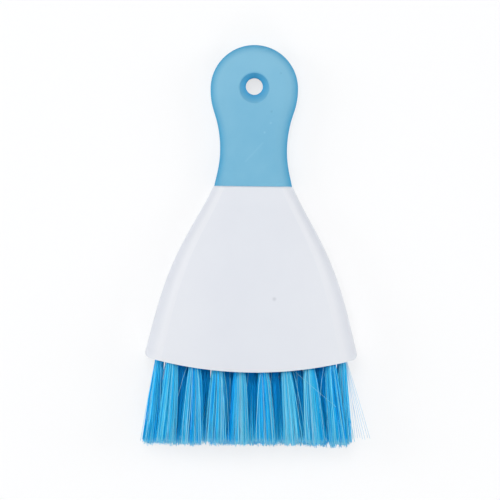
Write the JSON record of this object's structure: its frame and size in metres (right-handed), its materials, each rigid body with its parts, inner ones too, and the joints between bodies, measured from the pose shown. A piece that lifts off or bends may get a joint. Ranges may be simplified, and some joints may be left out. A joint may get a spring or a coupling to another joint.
{
  "type": "hand broom",
  "caption": "Short hand broom with a flared hood, a soft grip with a hanging hole, and staggered tufts of bristles.",
  "frame": {"origin": "under the middle of the whole broom, on the surface that its back rests on", "axes": "+Y towards the handle's end, +Z out of the broom's front, +X to the right seen from the front"},
  "size_m": [0.1223, 0.2224, 0.029],
  "materials": {
    "white_plastic": "satin",
    "blue_rubber": "matt, soft to the touch",
    "block_plastic": "matt",
    "bristle": "satin filament",
    "staple_wire": "drawn flat wire"
  },
  "bodies": {
    "root": {"head_shell": "white_plastic", "handle_core": "white_plastic", "grip": "blue_rubber", "bristle_block": "block_plastic", "tuft_staples": "staple_wire", "front_tuft_1": "bristle", "front_tuft_2": "bristle", "front_tuft_3": "bristle", "front_tuft_4": "bristle", "front_tuft_5": "bristle", "front_tuft_6": "bristle", "front_tuft_7": "bristle", "front_tuft_8": "bristle", "middle_tuft_1": "bristle", "middle_tuft_2": "bristle", "middle_tuft_3": "bristle", "middle_tuft_4": "bristle", "middle_tuft_5": "bristle", "middle_tuft_6": "bristle", "middle_tuft_7": "bristle", "middle_tuft_8": "bristle", "middle_tuft_9": "bristle", "back_tuft_1": "bristle", "back_tuft_2": "bristle", "back_tuft_3": "bristle", "back_tuft_4": "bristle", "back_tuft_5": "bristle", "back_tuft_6": "bristle", "back_tuft_7": "bristle", "back_tuft_8": "bristle"}
  },
  "joints": []
}
